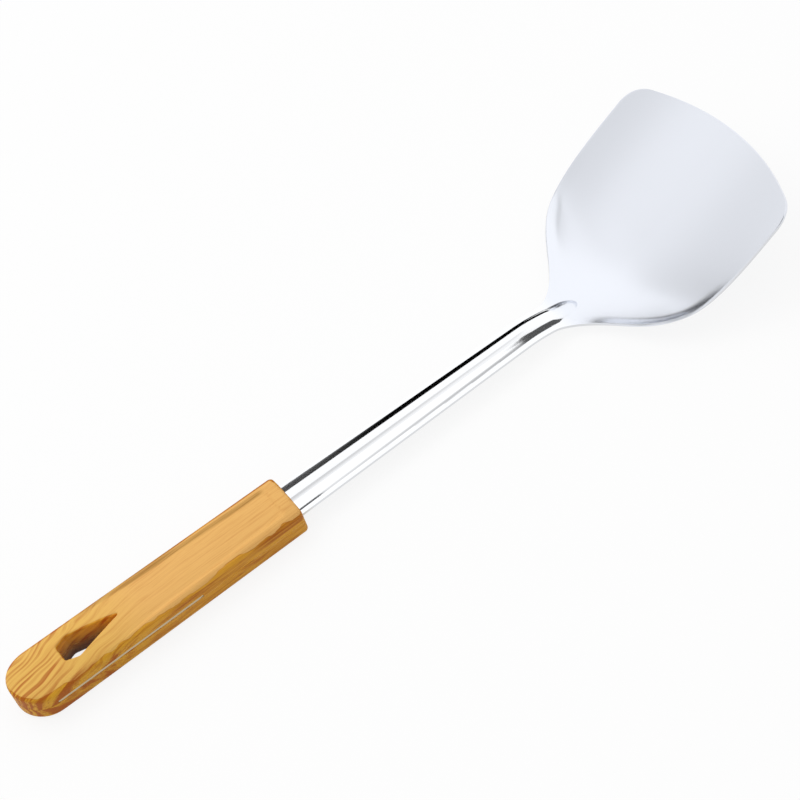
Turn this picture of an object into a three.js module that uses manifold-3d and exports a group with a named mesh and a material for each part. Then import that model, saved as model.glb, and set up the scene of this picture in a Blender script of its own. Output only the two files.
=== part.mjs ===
// Cooking spatula for a wok. One sheet of stainless steel is blanked and pressed into a dished
// blade, a ribbed stem and a flat tang. The tang lies between the two halves of the handle,
// which are drawn together by three self-tapping screws from below.
//
// Millimetres. X runs from the butt of the handle to the blade, Y across, Z up. The handle's
// underside and the belly of the blade both touch Z = 0. The group is centred on its length.

import * as THREE from 'three';
import { mergeVertices } from 'three/addons/utils/BufferGeometryUtils.js';
import Module from 'manifold-3d';

// Driving dimensions: the sheet and its clearances
const sheetThickness = 1.2;
const fitGap = 0.3;
const tangInset = 0.1;
const overrun = 2;

// Driving dimensions: the handle
const handleLength = 129;
const handleButtWidth = 25.4;
const handleFrontWidth = 23.2;
const lowerHalfHeight = 6.4;
const upperHalfButtHeight = 8;
const upperHalfFrontHeight = 7.7;
const topCrown = 1.9;
const topCrownPower = 3;
const topEdgeRound = 1.9;
const bottomEdgeRound = 1.6;
const frontCornerRound = 2;
const buttRise = 0.6;
const buttRiseLength = 26;

// Driving dimensions: the hanging hole, a blunt teardrop that points at the blade
const holeBaseFromButt = 23.5;
const holeWidestFromBase = 5.5;
const holeTipFromBase = 26.9;
const holeWidth = 11.3;
const holeBaseWidth = 7.4;
const holeTipRound = 0.5;
const holeShoulderRound = 3;
const holeBaseRound = 1;
const holeCollar = 1.5;

// Driving dimensions: the thumb facet sunk in the top of the handle
const facetFromFront = 6;
const facetLength = 62;
const facetFrontWidth = 14.4;
const facetButtWidth = 24;
const facetDepth = 0.9;
const facetWallSlant = 0.7;

// Driving dimensions: the screws
const screwFromButt = 15;
const screwBehindHoleTip = 9;
const screwFromFront = 40.6;
const screwHeadDiameter = 5.4;
const screwHeadHeight = 1.6;
const screwShaftDiameter = 2.6;
const screwPointLength = 1.6;
const screwSlotWidth = 0.9;
const screwSlotLength = 3.2;
const screwSlotDepth = 0.9;
const screwHeadSink = 1;
const screwRoofThickness = 1.6;
const screwBossWall = 1.7;

// Driving dimensions: the tang
const tangFromButt = 8;
const tangCornerRound = 6;
const tangShoulderFromFront = 52;
const tangWaistLength = 15;

// Driving dimensions: the stem and its rib
const stemRootWidth = 18.1;
const stemNeckWidth = 14;
const ribStartFromFront = 33;
const ribRiseLength = 28;
const ribRootWidth = 13.6;
const ribRootHeight = 4.5;
const ribNeckWidth = 8;
const ribNeckHeight = 3;
const ribNoseLength = 7;
const plugStartFromFront = 22;
const plugSetBack = 2;

// Driving dimensions: the blade
const overallLength = 358.2;
const bladeWidth = 97;
const bladeFrontRadius = 93;
const bladeCornerRadius = 12.8;
const bladeParallelLength = 8;
const bladeSideLength = 53.6;
const neckFlareLength = 20.9;
const bladeRise = 6.9;
const lipHeight = 1.2;
const lipWidth = 5;
const lipFadeLength = 45;
const heelFromFront = 80.4;
const heelBendRadius = 40;
const neckBendRadius = 40;
const slopeProbe = 0.05;

// Angles in degrees, and shares chosen by hand
const heelFallAngle = 16.5;
const bladeTiltAngle = 24.4;
const flareSlopeShare = 1.53;
const flareWidthShare = 0.494;
const flareHandleShare = 0.34;
const sideStartHandleShare = 0.222;
const sideEndHandleShare = 0.522;
const waistHandleShare = 0.45;
const dishPowerShare = 1.9;
const ribFootShare = 0.3;
const laneSpreadShare = 0.34;
const rimCrowdingShare = 1.5;
const leastCornerShare = 0.1;
const headFaceShare = 0.7;

// Counts
const buttSteps = 14;
const sideSteps = 14;
const cornerSteps = 4;
const edgeRoundSteps = 3;
const crownLanes = 6;
const holeCornerSteps = 6;
const edgeCounts = [5, 3, 4, 16, 7, 9, 1, 6];
const ribLanes = 7;
const outerLanes = 7;
const plugSteps = 6;
const screwSides = 20;

const wasm = await Module();
wasm.setup();

const radians = THREE.MathUtils.degToRad;
const lerp = THREE.MathUtils.lerp;

function smoothRamp(value, start, length) {
  return THREE.MathUtils.smoothstep(value, start, start + length);
}

// Helpers for closed solids

function toSolid(geometry) {
  const bare = geometry.clone();
  bare.deleteAttribute('normal');
  bare.deleteAttribute('uv');
  const merged = mergeVertices(bare);
  return new wasm.Manifold(new wasm.Mesh({
    numProp: 3,
    vertProperties: new Float32Array(merged.attributes.position.array),
    triVerts: new Uint32Array(merged.index.array),
  }));
}

function toGeometry(solid) {
  const mesh = solid.getMesh();
  const geometry = new THREE.BufferGeometry();
  geometry.setAttribute('position', new THREE.BufferAttribute(mesh.vertProperties, 3));
  geometry.setIndex(new THREE.BufferAttribute(mesh.triVerts, 1));
  geometry.computeVertexNormals();
  return geometry;
}

function cutAll(solid, cutters) {
  return cutters.reduce((left, cutter) => left.subtract(cutter), solid);
}

// Add a face of three or four corners, seen anticlockwise from outside, to a list of triangles
function addFace(triangles, ...corners) {
  for (let i = 1; i < corners.length - 1; i++) {
    const [a, b, c] = [corners[0], corners[i], corners[i + 1]];
    if (!a.equals(b) && !b.equals(c) && !c.equals(a)) {
      triangles.push(a, b, c);
    }
  }
}

function facesToSolid(triangles) {
  return toSolid(new THREE.BufferGeometry().setFromPoints(triangles));
}

// A closed solid between two grids of points that have the same rows and columns
function gridSolid(upper, lower) {
  const triangles = [];
  const lastRow = upper.length - 1;
  const lastColumn = upper[0].length - 1;
  const wall = (p, q) => {
    addFace(triangles, upper[p[0]][p[1]], lower[p[0]][p[1]], lower[q[0]][q[1]], upper[q[0]][q[1]]);
  };
  for (let r = 0; r < lastRow; r++) {
    for (let c = 0; c < lastColumn; c++) {
      addFace(triangles, upper[r][c], upper[r + 1][c], upper[r + 1][c + 1], upper[r][c + 1]);
      addFace(triangles, lower[r][c], lower[r][c + 1], lower[r + 1][c + 1], lower[r + 1][c]);
    }
    wall([r, 0], [r + 1, 0]);
    wall([r + 1, lastColumn], [r, lastColumn]);
  }
  for (let c = 0; c < lastColumn; c++) {
    wall([0, c + 1], [0, c]);
    wall([lastRow, c], [lastRow, c + 1]);
  }
  return facesToSolid(triangles);
}

// A straight prism over an outline in the XY plane
function prism(shape, bottom, top) {
  const depth = top - bottom;
  const geometry = new THREE.ExtrudeGeometry(shape, {
    depth, bevelEnabled: false, curveSegments: holeCornerSteps,
  });
  return toSolid(geometry.translate(0, 0, bottom));
}

function post(x, radius, bottom, top) {
  const geometry = new THREE.CylinderGeometry(radius, radius, top - bottom, screwSides);
  geometry.rotateX(Math.PI / 2);
  return toSolid(geometry.translate(x, 0, (top + bottom) / 2));
}

// Places that several pieces share

const seam = lowerHalfHeight;
const buttRadius = handleButtWidth / 2;
const holeBase = holeBaseFromButt;
const holeTip = holeBase + holeTipFromBase;
const screwPlaces = [
  screwFromButt,
  holeTip + screwBehindHoleTip,
  handleLength - screwFromFront,
];
const screwBossRadius = screwShaftDiameter / 2 + screwBossWall;

function handleHalfWidth(x) {
  const share = Math.max(0, (x - buttRadius) / (handleLength - buttRadius));
  return lerp(handleButtWidth, handleFrontWidth, share) / 2;
}

// The top face is highest along its middle, and the underside lies flat from side to side
function handleTop(x, y = 0) {
  const middle = seam + lerp(upperHalfButtHeight, upperHalfFrontHeight, x / handleLength);
  return middle - topCrown * Math.abs(y / handleHalfWidth(x)) ** topCrownPower;
}

function handleBottom(x) {
  const share = Math.max(0, (buttRiseLength - x) / buttRiseLength);
  return buttRise * share * share;
}

// The handle's halves

// Half of the handle's outline, from the middle of the butt to the front, drawn in by an inset
function handleOutline(inset) {
  const points = [];
  for (let i = 0; i <= buttSteps; i++) {
    const angle = (i / buttSteps) * (Math.PI / 2);
    const radius = buttRadius - inset;
    points.push([buttRadius - radius * Math.cos(angle), radius * Math.sin(angle)]);
  }
  const corner = Math.max(frontCornerRound - inset, leastCornerShare * frontCornerRound);
  const cornerX = handleLength - inset - corner;
  for (let i = 1; i <= sideSteps; i++) {
    const x = lerp(buttRadius, cornerX, i / sideSteps);
    points.push([x, handleHalfWidth(x) - inset]);
  }
  const cornerY = handleHalfWidth(cornerX) - inset - corner;
  for (let i = 1; i <= cornerSteps; i++) {
    const angle = (i / cornerSteps) * (Math.PI / 2);
    points.push([cornerX + corner * Math.sin(angle), cornerY + corner * Math.cos(angle)]);
  }
  return points;
}

// Rows of points from the left to the right of one half of the handle, drawn in by an inset
function handleRows(inset, heightAt) {
  return handleOutline(inset).map(([x, y]) => {
    const row = [];
    for (let j = 0; j <= crownLanes; j++) {
      const across = lerp(y, -y, j / crownLanes);
      row.push(new THREE.Vector3(x, across, heightAt(x, across)));
    }
    return row;
  });
}

// One half of the handle without its cuts: rings climb from the seam and turn in over the edge.
// The direction is 1 for the upper half and -1 for the lower half.
function handleHalf(faceAt, edgeRound, direction) {
  const rings = [handleRows(0, () => seam)];
  for (let k = 0; k <= edgeRoundSteps; k++) {
    const angle = (k / edgeRoundSteps) * (Math.PI / 2);
    const drop = direction * edgeRound * (1 - Math.sin(angle));
    rings.push(handleRows(edgeRound * (1 - Math.cos(angle)), (x, y) => faceAt(x, y) - drop));
  }
  const triangles = [];
  const add = (...corners) => addFace(triangles, ...(direction > 0 ? corners : corners.reverse()));
  const rows = rings[0].length - 1;
  for (let k = 1; k < rings.length; k++) {
    const [low, high] = [rings[k - 1], rings[k]];
    for (let i = 0; i < rows; i++) {
      add(low[i + 1][0], low[i][0], high[i][0], high[i + 1][0]);
      add(low[i].at(-1), low[i + 1].at(-1), high[i + 1].at(-1), high[i].at(-1));
    }
    for (let j = 0; j < crownLanes; j++) {
      add(low[rows][j + 1], low[rows][j], high[rows][j], high[rows][j + 1]);
    }
  }
  const face = rings[rings.length - 1];
  const floor = rings[0];
  for (let i = 0; i < rows; i++) {
    for (let j = 0; j < crownLanes; j++) {
      add(face[i][j], face[i][j + 1], face[i + 1][j + 1], face[i + 1][j]);
      add(floor[i][j], floor[i + 1][j], floor[i + 1][j + 1], floor[i][j + 1]);
    }
  }
  return facesToSolid(triangles);
}

// The blunt teardrop, grown by a margin on every side, with its corners rounded
function holeShape(margin) {
  const corners = [
    [holeTip, 0, holeTipRound],
    [holeBase + holeWidestFromBase, holeWidth / 2, holeShoulderRound],
    [holeBase, holeBaseWidth / 2, holeBaseRound],
    [holeBase, -holeBaseWidth / 2, holeBaseRound],
    [holeBase + holeWidestFromBase, -holeWidth / 2, holeShoulderRound],
  ];
  const places = corners.map(([x, y]) => new THREE.Vector2(x, y));
  const grown = places.map((place, i) => {
    const before = places[(i + places.length - 1) % places.length];
    const after = places[(i + 1) % places.length];
    const inward = place.clone().sub(before).normalize();
    const outward = after.clone().sub(place).normalize();
    const miter = new THREE.Vector2(inward.y + outward.y, -inward.x - outward.x).normalize();
    const reach = margin / miter.dot(new THREE.Vector2(inward.y, -inward.x));
    return place.clone().addScaledVector(miter, reach);
  });
  const shape = new THREE.Shape();
  grown.forEach((place, i) => {
    const before = grown[(i + grown.length - 1) % grown.length];
    const after = grown[(i + 1) % grown.length];
    const back = before.clone().sub(place).normalize();
    const on = after.clone().sub(place).normalize();
    const halfAngle = Math.acos(THREE.MathUtils.clamp(back.dot(on), -1, 1)) / 2;
    const cut = (corners[i][2] + margin) / Math.tan(halfAngle);
    const start = place.clone().addScaledVector(back, cut);
    const end = place.clone().addScaledVector(on, cut);
    if (i === 0) {
      shape.moveTo(start.x, start.y);
    } else {
      shape.lineTo(start.x, start.y);
    }
    shape.quadraticCurveTo(place.x, place.y, end.x, end.y);
  });
  shape.closePath();
  return shape;
}

// A wedge that leaves the thumb facet: deepest at its front wall, fading out towards the hole
function facetWedge() {
  const front = handleLength - facetFromFront;
  const back = front - facetLength;
  const lift = overrun / facetDepth;
  const over = handleTop(front) + overrun;
  const wide = facetFrontWidth / 2 + facetWallSlant * (1 + lift);
  const points = [
    new THREE.Vector3(back, facetButtWidth / 2, handleTop(back)),
    new THREE.Vector3(back, -facetButtWidth / 2, handleTop(back)),
    new THREE.Vector3(front, facetFrontWidth / 2, handleTop(front) - facetDepth),
    new THREE.Vector3(front, -facetFrontWidth / 2, handleTop(front) - facetDepth),
    new THREE.Vector3(front + facetWallSlant * (1 + lift), wide, over),
    new THREE.Vector3(front + facetWallSlant * (1 + lift), -wide, over),
  ];
  const triangles = [];
  const add = (...corners) => addFace(triangles, ...corners.map((i) => points[i]));
  add(0, 2, 3, 1);
  add(0, 1, 5, 4);
  add(2, 4, 5, 3);
  add(0, 4, 2);
  add(1, 3, 5);
  return facesToSolid(triangles);
}

// The pressing: outline, rib, dish and lip

const tangHalfWidth = (x) => handleHalfWidth(x) - tangInset;
const heelX = overallLength - heelFromFront;
const bladeHalf = bladeWidth / 2;
const frontArcX = overallLength - bladeFrontRadius;
const cornerReach = Math.sqrt((bladeFrontRadius - bladeCornerRadius) ** 2
  - (bladeHalf - bladeCornerRadius) ** 2);
const cornerX = frontArcX + cornerReach;
const cornerY = bladeHalf - bladeCornerRadius;
const cornerAngle = Math.atan2(cornerY, cornerReach);
const sideEndX = cornerX - bladeParallelLength;
const flareEndX = sideEndX - bladeSideLength;
const neckX = flareEndX - neckFlareLength;
const tangShoulderX = handleLength - tangShoulderFromFront;
const waistEndX = tangShoulderX + tangWaistLength;

// The left edge of the blank, from the end of the tang to the corner of the blade
function blankEdge() {
  const edge = new THREE.CurvePath();
  const at = (x, y) => new THREE.Vector2(x, y);
  const fullX = tangFromButt + tangCornerRound;
  const fullY = tangHalfWidth(fullX);
  const tangEnd = at(tangShoulderX, tangHalfWidth(tangShoulderX));
  const waistEnd = at(waistEndX, stemRootWidth / 2);
  const neck = at(neckX, stemNeckWidth / 2);
  const flareY = bladeHalf * flareWidthShare;
  const flareEnd = at(flareEndX, flareY);
  const sideEnd = at(sideEndX, bladeHalf);
  const lean = flareSlopeShare;
  edge.add(new THREE.EllipseCurve(fullX, fullY - tangCornerRound, tangCornerRound, tangCornerRound,
    Math.PI, Math.PI / 2, true));
  edge.add(new THREE.LineCurve(at(fullX, fullY), tangEnd));
  edge.add(new THREE.CubicBezierCurve(tangEnd,
    at(tangEnd.x + waistHandleShare * tangWaistLength, tangEnd.y),
    at(waistEndX - waistHandleShare * tangWaistLength, waistEnd.y), waistEnd));
  edge.add(new THREE.LineCurve(waistEnd, neck));
  edge.add(new THREE.CubicBezierCurve(neck,
    at(neckX + flareHandleShare * neckFlareLength, neck.y),
    at(flareEndX - flareHandleShare * neckFlareLength, flareY - lean * flareHandleShare * neckFlareLength),
    flareEnd));
  edge.add(new THREE.CubicBezierCurve(flareEnd,
    at(flareEndX + sideStartHandleShare * bladeSideLength,
      flareY + lean * sideStartHandleShare * bladeSideLength),
    at(sideEndX - sideEndHandleShare * bladeSideLength, bladeHalf), sideEnd));
  edge.add(new THREE.LineCurve(sideEnd, at(cornerX, bladeHalf)));
  edge.add(new THREE.EllipseCurve(cornerX, cornerY, bladeCornerRadius, bladeCornerRadius,
    Math.PI / 2, cornerAngle, true));
  return edge;
}

// Rows of the blank: a point on the left edge each, with more of them where the sheet bends
const edgeCurve = blankEdge();

function edgeRows(clearance) {
  const rows = [];
  edgeCurve.curves.forEach((curve, k) => {
    for (let i = rows.length ? 1 : 0; i <= edgeCounts[k]; i++) {
      const t = i / edgeCounts[k];
      const point = curve.getPoint(t);
      const tangent = curve.getTangent(t);
      rows.push({ x: point.x - tangent.y * clearance, y: point.y + tangent.x * clearance });
    }
  });
  return rows;
}

const blankRows = edgeRows(0);

// Half of the blank's width at a station; the blade counts as full width past its corner
function blankHalfWidth(x) {
  if (x >= cornerX) {
    return bladeHalf;
  }
  const after = Math.max(1, blankRows.findIndex((row) => row.x >= x));
  const [a, b] = [blankRows[after - 1], blankRows[after]];
  return lerp(a.y, b.y, THREE.MathUtils.clamp((x - a.x) / (b.x - a.x), 0, 1));
}

// Height of the sheet's middle along the centre line: stem, bend down to the heel, blade
const flatHeight = seam + sheetThickness / 2;
const fall = -radians(heelFallAngle);
const tilt = radians(bladeTiltAngle);
const heelBelly = sheetThickness / 2;
const heelHeight = heelBelly + heelBendRadius
  * (1 - Math.cos((fall + tilt) / 2) / Math.cos((tilt - fall) / 2));
const neckBendX = heelX + (flatHeight - heelHeight) / Math.tan(fall);

function bend(x, height, angleIn, angleOut, radius) {
  const turn = Math.sign(angleOut - angleIn);
  const reach = radius * Math.tan(Math.abs(angleOut - angleIn) / 2);
  const startX = x - reach * Math.cos(angleIn);
  const startHeight = height - reach * Math.sin(angleIn);
  return {
    startX,
    endX: x + reach * Math.cos(angleOut),
    heightAt(at) {
      const centreX = startX - turn * radius * Math.sin(angleIn);
      const centreHeight = startHeight + turn * radius * Math.cos(angleIn);
      return centreHeight - turn * Math.sqrt(radius ** 2 - (at - centreX) ** 2);
    },
  };
}

const neckBend = bend(neckBendX, flatHeight, 0, fall, neckBendRadius);
const heelBend = bend(heelX, heelHeight, fall, tilt, heelBendRadius);

function centreHeight(x) {
  if (x <= neckBend.startX) {
    return flatHeight;
  }
  if (x < neckBend.endX) {
    return neckBend.heightAt(x);
  }
  if (x < heelBend.startX) {
    return heelHeight + (x - heelX) * Math.tan(fall);
  }
  if (x < heelBend.endX) {
    return heelBend.heightAt(x);
  }
  return heelHeight + (x - heelX) * Math.tan(tilt);
}

// The rib is an arc with filleted feet, and its nose closes like the end of an egg
const ribStart = handleLength - ribStartFromFront;
const ribFull = ribStart + ribRiseLength;
const ribNoseX = heelX - ribNoseLength;
const noseStartX = ribNoseX - ribNoseLength;

function ribAt(x) {
  const along = THREE.MathUtils.clamp((x - handleLength) / (noseStartX - handleLength), 0, 1);
  const into = THREE.MathUtils.clamp((x - noseStartX) / ribNoseLength, 0, 1);
  const nose = Math.sqrt(1 - into ** 2);
  return {
    half: (lerp(ribRootWidth, ribNeckWidth, along) / 2) * nose,
    height: lerp(ribRootHeight, ribNeckHeight, along) * nose * smoothRamp(x, ribStart, ribRiseLength),
  };
}

function ribHeightAt(x, y) {
  const { half, height } = ribAt(x);
  if (half <= 0 || height <= 0) {
    return 0;
  }
  const radius = (half ** 2 + height ** 2) / (2 * height);
  const across = Math.min(Math.abs(y), radius);
  const arc = Math.sqrt(radius ** 2 - across ** 2) - (radius - height) - (Math.abs(y) - across);
  const foot = ribFootShare * height;
  const blend = Math.max(foot - Math.abs(arc), 0) / foot;
  return Math.max(arc, 0) + (blend ** 2 * foot) / 4;
}

// The dish rises towards the rim, and a narrow lip round the shoulders turns up more
function dishHeightAt(x, y) {
  const half = blankHalfWidth(x);
  const amount = smoothRamp(x, neckX, heelX - neckX);
  const share = Math.min(Math.abs(y) / half, 1);
  const slope = (blankHalfWidth(x + slopeProbe) - half) / slopeProbe;
  const fromRim = (half - Math.abs(y)) / Math.hypot(1, slope);
  const lip = Math.max(0, 1 - fromRim / lipWidth) ** 2;
  const fade = 1 - smoothRamp(x, heelX, lipFadeLength);
  return amount * (bladeRise * share ** dishPowerShare + lipHeight * lip * fade);
}

function sheetHeight(x, y) {
  return centreHeight(x) + ribHeightAt(x, y) + dishHeightAt(x, y);
}

// A point off the middle of the sheet, along its normal
function offSheet(x, y, distance) {
  const slopeX = (sheetHeight(x + slopeProbe, y) - sheetHeight(x - slopeProbe, y)) / (2 * slopeProbe);
  const slopeY = (sheetHeight(x, y + slopeProbe) - sheetHeight(x, y - slopeProbe)) / (2 * slopeProbe);
  const normal = new THREE.Vector3(-slopeX, -slopeY, 1).normalize();
  return new THREE.Vector3(x, y, sheetHeight(x, y)).addScaledVector(normal, distance);
}

// Places across one row: close together over the rib and near the rim
function lanePlaces(x, half) {
  const rib = (ribAt(Math.min(x, noseStartX)).half * (1 + ribFootShare / 2));
  const spread = smoothRamp(x, ribNoseX, heelFromFront / 2);
  const inner = Math.min(lerp(rib, laneSpreadShare * half, spread), half * (1 - leastCornerShare));
  const places = [];
  for (let j = 0; j <= ribLanes; j++) {
    const even = j / ribLanes;
    places.push(inner * lerp(Math.sin(even * Math.PI / 2), even, spread));
  }
  for (let k = 1; k <= outerLanes; k++) {
    places.push(inner + (half - inner) * (1 - (1 - k / outerLanes) ** rimCrowdingShare));
  }
  const right = places.slice(1).reverse().map((place) => -place);
  return [...right, ...places];
}

// Grids of the sheet's upper and lower face over rows that bow towards the front of the blade
function rowPoints(row) {
  const end = blankRows[blankRows.length - 1];
  const share = THREE.MathUtils.clamp((row.x - heelX) / (end.x - heelX), 0, 1);
  const bow = (overallLength - end.x) * share ** 2;
  return lanePlaces(row.x, row.y).map((y) => [row.x + bow * (1 - (y / row.y) ** 2), y]);
}

function sheetGrid(rows, distance) {
  return rows.map((row) => rowPoints(row).map(([x, y]) => offSheet(x, y, distance)));
}

// The pieces

function pressedSteel() {
  const half = sheetThickness / 2;
  const sheet = gridSolid(sheetGrid(blankRows, half), sheetGrid(blankRows, -half));
  const holes = screwPlaces.map((x) => post(x, screwBossRadius + fitGap, seam - overrun, seam + overrun));
  const hanging = prism(holeShape(holeCollar + fitGap), seam - overrun, seam + overrun);
  return cutAll(sheet, [hanging, ...holes]);
}

// The room that the tang and the root of the stem need above the seam
function tangRoom() {
  const rows = edgeRows(fitGap).filter((row) => row.x < handleLength);
  rows.push({ x: handleLength + overrun, y: blankHalfWidth(handleLength) + fitGap });
  const upper = sheetGrid(rows, sheetThickness / 2 + fitGap);
  const lower = upper.map((row) => row.map((p) => new THREE.Vector3(p.x, p.y, seam - overrun)));
  const bosses = screwPlaces.map((x) => post(x, screwBossRadius, seam - 2 * overrun, seam + overrun));
  const collar = prism(holeShape(holeCollar), seam - 2 * overrun, seam + overrun);
  return cutAll(gridSolid(upper, lower), [collar, ...bosses]);
}

// The plug on the lower half that fills the rib from below where the stem leaves the handle
function ribPlug() {
  const start = handleLength - plugStartFromFront;
  const end = handleLength - plugSetBack;
  const upper = [];
  for (let i = 0; i <= plugSteps; i++) {
    const x = lerp(start, end, i / plugSteps);
    const places = lanePlaces(x, blankHalfWidth(x)).slice(outerLanes - 1, 1 - outerLanes);
    upper.push(places.map((y) => offSheet(x, y, -sheetThickness / 2 - fitGap)));
  }
  const lower = upper.map((row) => row.map((p) => new THREE.Vector3(p.x, p.y, seam - overrun)));
  return gridSolid(upper, lower);
}

function screwSeat(x) {
  return handleBottom(x) + screwHeadSink + screwHeadHeight;
}

function screwTip(x) {
  return handleTop(x) - screwRoofThickness - fitGap;
}

function hangingHole() {
  return prism(holeShape(0), -overrun, handleTop(handleLength) + overrun);
}

function upperHalf() {
  const pilots = screwPlaces.map((x) => post(x, screwShaftDiameter / 2 + fitGap,
    seam - overrun, handleTop(x) - screwRoofThickness));
  const body = handleHalf(handleTop, topEdgeRound, 1);
  return cutAll(body, [tangRoom(), hangingHole(), facetWedge(), ...pilots]);
}

function lowerHalf() {
  const shafts = screwPlaces.map((x) => post(x, screwShaftDiameter / 2 + fitGap, -overrun, seam + overrun));
  const heads = screwPlaces.map((x) => post(x, screwHeadDiameter / 2 + fitGap, -overrun, screwSeat(x)));
  const body = handleHalf(handleBottom, bottomEdgeRound, -1).add(ribPlug());
  return cutAll(body, [hangingHole(), ...shafts, ...heads]);
}

// A pan-head screw that stands point up, with a cross slot in its head
function screw(x) {
  const length = screwTip(x) - screwSeat(x);
  const shaft = screwShaftDiameter / 2;
  const head = screwHeadDiameter / 2;
  const profile = [
    [0, -screwHeadHeight],
    [head * headFaceShare, -screwHeadHeight],
    [head, -screwHeadHeight / 2],
    [head, 0],
    [shaft, 0],
    [shaft, length - screwPointLength],
    [0, length],
  ].map(([r, h]) => new THREE.Vector2(r, h));
  const body = new THREE.LatheGeometry(profile, screwSides).rotateX(Math.PI / 2);
  const slot = new THREE.BoxGeometry(screwSlotLength, screwSlotWidth, 2 * screwSlotDepth);
  slot.translate(0, 0, -screwHeadHeight);
  const crossed = slot.clone().rotateZ(Math.PI / 2);
  return cutAll(toSolid(body), [toSolid(slot), toSolid(crossed)]);
}

// Assembly

function addPiece(group, name, solid, material) {
  const mesh = new THREE.Mesh(toGeometry(solid), material);
  mesh.name = name;
  group.add(mesh);
  return mesh;
}

const steel = new THREE.MeshStandardMaterial({ color: 0xd9dde2, roughness: 0.22, metalness: 1 });
const upperGrain = new THREE.MeshStandardMaterial({ color: 0xe2aa5c, roughness: 0.5, metalness: 0 });
const lowerGrain = new THREE.MeshStandardMaterial({ color: 0xb9822f, roughness: 0.5, metalness: 0 });
const zinc = new THREE.MeshStandardMaterial({ color: 0xb4b7ba, roughness: 0.4, metalness: 1 });

const spatula = new THREE.Group();
addPiece(spatula, 'pressed_steel', pressedSteel(), steel);
addPiece(spatula, 'handle_upper_half', upperHalf(), upperGrain);
addPiece(spatula, 'handle_lower_half', lowerHalf(), lowerGrain);
['screw_rear', 'screw_middle', 'screw_front'].forEach((name, i) => {
  const x = screwPlaces[i];
  addPiece(spatula, name, screw(x), zinc).position.set(x, 0, screwSeat(x));
});
const extent = new THREE.Box3().setFromObject(spatula);
spatula.position.x = -(extent.min.x + extent.max.x) / 2;

export default spatula;
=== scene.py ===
# %% [markdown]
# # A cooking spatula for a wok
#
# One sheet of stainless steel is blanked and pressed into a dished blade, a ribbed stem and a
# flat tang. Two wooden halves close over the tang and make the handle, and a teardrop hole
# through all three lets it hang on a hook. We rebuild each piece over a fixed model of the
# spatula, finish it with its own material, and light it as a shop would for a catalogue.

import math

import bmesh
import bpy
import numpy as np
from mathutils import Matrix, Vector


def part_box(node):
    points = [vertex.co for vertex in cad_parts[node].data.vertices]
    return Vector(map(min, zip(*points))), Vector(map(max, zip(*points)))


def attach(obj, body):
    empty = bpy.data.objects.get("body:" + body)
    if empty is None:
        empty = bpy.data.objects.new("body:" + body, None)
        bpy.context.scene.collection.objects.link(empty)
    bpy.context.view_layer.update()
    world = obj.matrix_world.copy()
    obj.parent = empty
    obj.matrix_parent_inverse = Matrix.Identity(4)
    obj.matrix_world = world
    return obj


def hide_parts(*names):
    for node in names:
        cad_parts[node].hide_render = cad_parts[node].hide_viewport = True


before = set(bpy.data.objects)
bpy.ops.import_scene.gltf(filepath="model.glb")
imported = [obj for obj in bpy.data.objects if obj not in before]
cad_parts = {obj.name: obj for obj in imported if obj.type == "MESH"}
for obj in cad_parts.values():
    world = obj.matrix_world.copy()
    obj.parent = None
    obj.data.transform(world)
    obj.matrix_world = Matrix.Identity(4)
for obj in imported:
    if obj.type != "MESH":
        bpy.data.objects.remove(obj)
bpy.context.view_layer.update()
mm = 0.001
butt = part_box("handle_upper_half")[0][0]
print("pieces of the fixed model:", sorted(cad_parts))
print("the butt of the handle is at x =", round(butt, 5), "m")

# %% [markdown]
# ## The camera
#
# A catalogue picture of a long tool is taken from above, with the tool across the frame from
# corner to corner. A long lens keeps the blade and the handle in proportion. Blender's camera
# looks along its own -Z with +Y up, so we build its matrix from where it looks and a roll.

# %% Place the camera


def point_camera(camera, place, forward, roll):
    forward = Vector(forward).normalized()
    level = forward.cross(Vector((0, 0, 1))).normalized()
    right = Matrix.Rotation(roll, 3, forward) @ level
    up = right.cross(forward)
    turn = Matrix((right, up, -forward)).transposed()
    camera.matrix_world = Matrix.Translation(place) @ turn.to_4x4()


camera = bpy.data.objects.new("camera", bpy.data.cameras.new("camera"))
bpy.context.scene.collection.objects.link(camera)
camera.data.sensor_width = 36
camera.data.lens = 113
point_camera(camera, Vector((-0.20038, -0.56221, 0.7885)), (0.2123, 0.5765, -0.789),
             math.radians(19.5))
bpy.context.scene.camera = camera
print("camera at", [round(v, 3) for v in camera.location], "lens", camera.data.lens, "mm")

# %% [markdown]
# ## Small helpers
#
# Every piece ends as a plain mesh whose object stays at the origin. A shape that we know as
# rows of points becomes a mesh with quads between the rows. Long node trees read better as
# formulas, so a node's output is wrapped as a signal: the sum or product of two signals wires
# up a maths node. Distances along the tool are in millimetres from the butt.

# %% Helpers for meshes


def from_butt(distance):
    return butt + distance * mm


def add_object(name, data):
    thing = bpy.data.objects.new(name, data)
    bpy.context.scene.collection.objects.link(thing)
    return thing


def new_object(name, points, faces):
    mesh = bpy.data.meshes.new(name)
    mesh.from_pydata([tuple(p) for p in points], [], faces)
    mesh.validate()
    return add_object(name, mesh)


def plain_copy(piece):
    """The piece with its modifiers worked in, as one plain mesh."""
    graph = bpy.context.evaluated_depsgraph_get()
    mesh = bpy.data.meshes.new_from_object(piece.evaluated_get(graph))
    piece.modifiers.clear()
    piece.data = mesh
    return piece


def remove(piece):
    bpy.data.objects.remove(piece, do_unlink=True)


def cut(piece, tools, how="DIFFERENCE"):
    for tool in tools:
        boolean = piece.modifiers.new(tool.name, "BOOLEAN")
        boolean.operation = how
        boolean.solver = "EXACT"
        boolean.object = tool
    plain_copy(piece)
    for tool in tools:
        remove(tool)


def smooth(piece, degrees):
    mesh = piece.data
    mesh.polygons.foreach_set("use_smooth", [True] * len(mesh.polygons))
    mesh.set_sharp_from_angle(angle=math.radians(degrees))


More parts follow.
